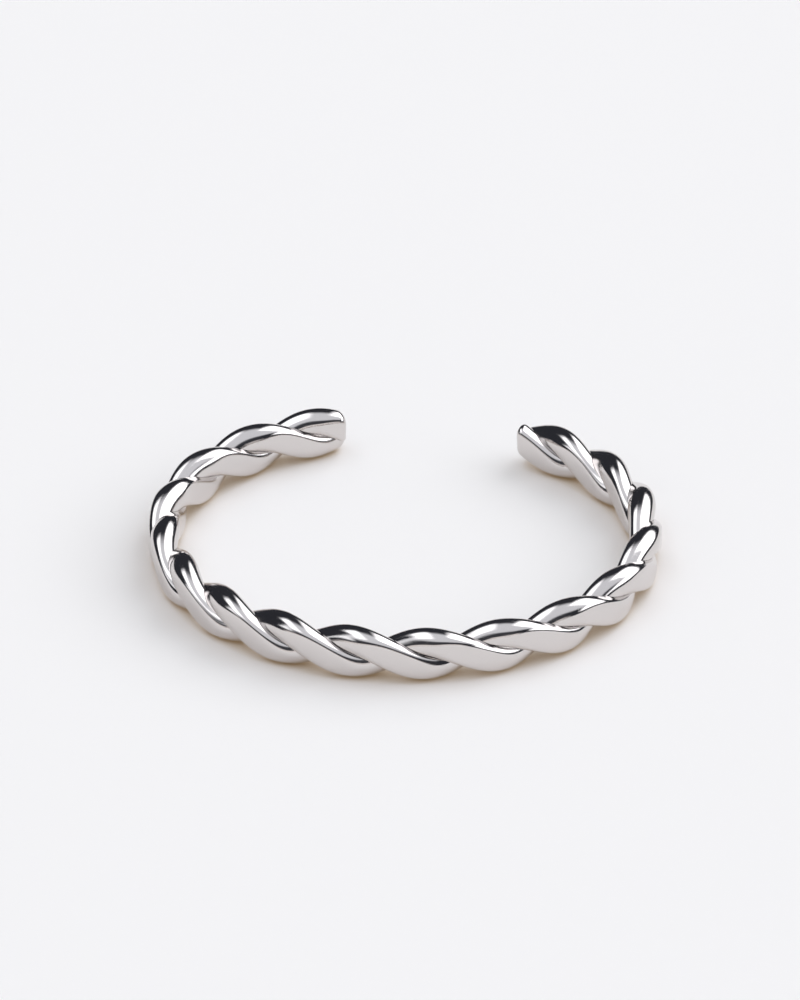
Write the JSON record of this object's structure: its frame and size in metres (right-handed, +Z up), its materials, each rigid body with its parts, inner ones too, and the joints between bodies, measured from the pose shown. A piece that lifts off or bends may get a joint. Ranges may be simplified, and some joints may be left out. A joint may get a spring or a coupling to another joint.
{
  "type": "open twisted wire cuff bangle",
  "caption": "Open oval cuff bangle of polished silver strands twisted round each other, pressed on their inner and outer sides, with plain rounded tips.",
  "frame": {"origin": "on the axis of the wrist hollow, in the plane that the cuff lies on", "axes": "+X from the left tip's side to the right, +Y towards the opening between the tips, +Z up along the wrist"},
  "size_m": [0.0644, 0.056, 0.0066],
  "materials": {
    "silver": "mirror-polished sterling silver with fine hairline scratches"
  },
  "bodies": {
    "root": {"first_strand": "silver", "second_strand": "silver"}
  },
  "joints": []
}
